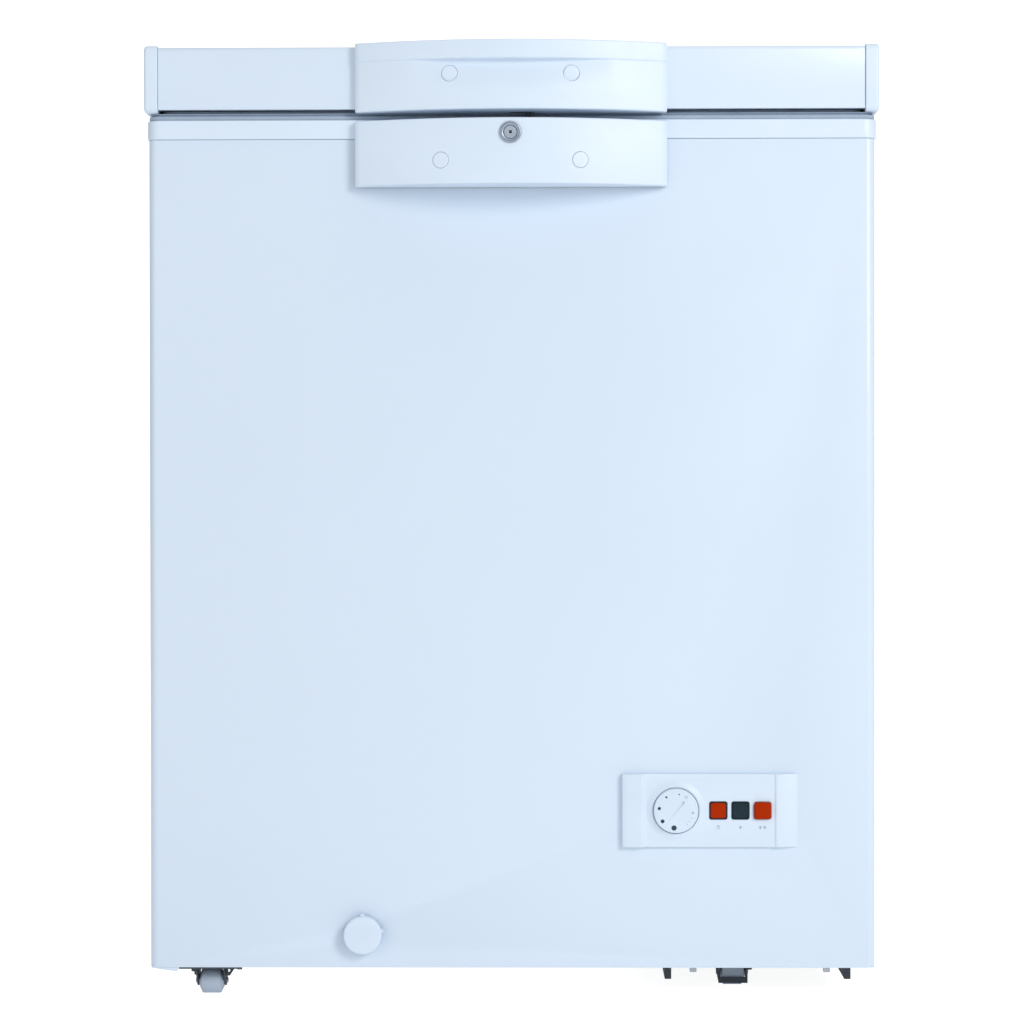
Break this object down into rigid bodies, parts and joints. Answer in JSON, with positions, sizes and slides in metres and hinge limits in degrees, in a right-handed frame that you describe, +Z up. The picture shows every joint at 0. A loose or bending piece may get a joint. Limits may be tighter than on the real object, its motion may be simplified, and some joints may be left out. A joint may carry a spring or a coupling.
{
  "type": "chest freezer",
  "caption": "Upright-box chest freezer with a hinged lid, bowed handle and lock, front thermostat panel, drain and rollers.",
  "frame": {"origin": "middle of the base of the bounding box, on the floor", "axes": "+Z up, front faces -Y, +X to the right of someone standing in front"},
  "size_m": [0.6546, 0.5796, 0.8495],
  "materials": {
    "white_paint": "smooth semi-gloss cool white enamel",
    "white_plastic": "satin cool white moulding",
    "galvanised": "zinc-coated sheet",
    "dark_steel": "dark electrocoat",
    "aluminium": "stucco-embossed",
    "foam": "rigid foam, fine cells",
    "copper": "drawn tube",
    "black_enamel": "black enamel",
    "chrome": "plated",
    "gasket_rubber": "soft grey seal",
    "grey_plastic": "moulded roller",
    "dark_plastic": "moulded",
    "orange_lens": "glossy orange-red",
    "dark_lens": "glossy, unlit",
    "black_rubber": "matt"
  },
  "bodies": {
    "cabinet": {"outer_wrapper": "white_paint", "back_panel": "galvanised", "bottom_panel": "galvanised", "rear_grille": "galvanised", "thermostat": "galvanised", "hinge_base_left": "galvanised", "hinge_base_right": "galvanised", "foam_insulation": "foam", "inner_liner": "aluminium", "evaporator_coil": "aluminium", "top_frame": "white_plastic", "lock_housing": "white_plastic", "housing_screw_cap_left": "white_plastic", "housing_screw_cap_right": "white_plastic", "control_panel": "white_plastic", "drain_socket": "white_plastic", "condenser_coil": "copper", "filter_drier": "copper", "discharge_pipe": "copper", "suction_pipe": "copper", "compressor": "black_enamel", "compressor_tray": "dark_steel", "lock_barrel": "chrome", "hinge_pin_left": "chrome", "hinge_pin_right": "chrome", "cable_gland": "black_rubber", "power_lamp_lens": "orange_lens", "run_lamp_lens": "dark_lens", "switch_body": "dark_plastic", "caster_bracket_front_left": "dark_steel", "caster_axle_front_left": "chrome", "caster_bracket_rear_left": "dark_steel", "caster_axle_rear_left": "chrome", "caster_bracket_front_right": "dark_steel", "caster_axle_front_right": "chrome", "caster_bracket_rear_right": "dark_steel", "caster_axle_rear_right": "chrome"},
    "lid": {"lid_outer_panel": "white_paint", "lid_foam": "foam", "lid_inner_liner": "white_plastic", "lid_gasket": "gasket_rubber", "lid_end_cap_left": "white_plastic", "lid_end_cap_right": "white_plastic", "lid_handle": "white_plastic", "handle_screw_cap_left": "white_plastic", "handle_screw_cap_right": "white_plastic", "lock_keeper": "galvanised", "hinge_arm_left": "galvanised", "hinge_arm_right": "galvanised"},
    "lock_plug": {"lock_cylinder": "chrome", "lock_cam": "galvanised"},
    "dial": {"thermostat_dial": "white_plastic"},
    "button": {"fast_freeze_button": "orange_lens"},
    "drain_slide": {"drain_tube": "white_plastic"},
    "drain_turn": {"drain_cap": "white_plastic"},
    "stopper": {"drain_plug": "gasket_rubber"},
    "roller_front_left": {"wheel_front_left": "grey_plastic"},
    "roller_rear_left": {"wheel_rear_left": "grey_plastic"},
    "roller_front_right": {"wheel_front_right": "grey_plastic"},
    "roller_rear_right": {"wheel_rear_right": "grey_plastic"}
  },
  "joints": [
    {"name": "lid_hinge", "type": "hinge", "parent": "cabinet", "child": "lid", "pos_m": [0, 0.28165, 0.7902], "axis": [-1, 0, 0], "range_deg": [0, 75]},
    {"name": "lock_turn", "type": "hinge", "parent": "cabinet", "child": "lock_plug", "pos_m": [0, -0.28765, 0.7673], "axis": [0, 1, 0], "range_deg": [0, 90]},
    {"name": "dial_turn", "type": "hinge", "parent": "cabinet", "child": "dial", "pos_m": [0.1459, -0.24985, 0.1676], "axis": [0, 1, 0], "range_deg": [0, 270]},
    {"name": "fast_freeze_press", "type": "slide", "parent": "cabinet", "child": "button", "axis": [0, 1, 0], "range_m": [0, 0.0025], "stiffness_N_per_m": 800, "springref_m": -0.002},
    {"name": "drain_pull", "type": "slide", "parent": "cabinet", "child": "drain_slide", "axis": [0, -1, 0], "range_m": [0, 0.03]},
    {"name": "drain_cap_turn", "type": "hinge", "parent": "drain_slide", "child": "drain_turn", "pos_m": [-0.1331, -0.24615, 0.0568], "axis": [0, 1, 0], "range_deg": [0, 180]},
    {"name": "stopper_lift", "type": "slide", "parent": "cabinet", "child": "stopper", "axis": [0, 0, 1], "range_m": [0, 0.05]},
    {"name": "roll_front_left", "type": "hinge", "parent": "cabinet", "child": "roller_front_left", "pos_m": [-0.271, -0.21615, 0.0115], "axis": [1, 0, 0], "continuous": true},
    {"name": "roll_rear_left", "type": "hinge", "parent": "cabinet", "child": "roller_rear_left", "pos_m": [-0.271, 0.24385, 0.0115], "axis": [1, 0, 0], "continuous": true},
    {"name": "roll_front_right", "type": "hinge", "parent": "cabinet", "child": "roller_front_right", "pos_m": [0.2, -0.16115, 0.0115], "axis": [1, 0, 0], "continuous": true},
    {"name": "roll_rear_right", "type": "hinge", "parent": "cabinet", "child": "roller_rear_right", "pos_m": [0.2, 0.18885, 0.0115], "axis": [1, 0, 0], "continuous": true}
  ]
}
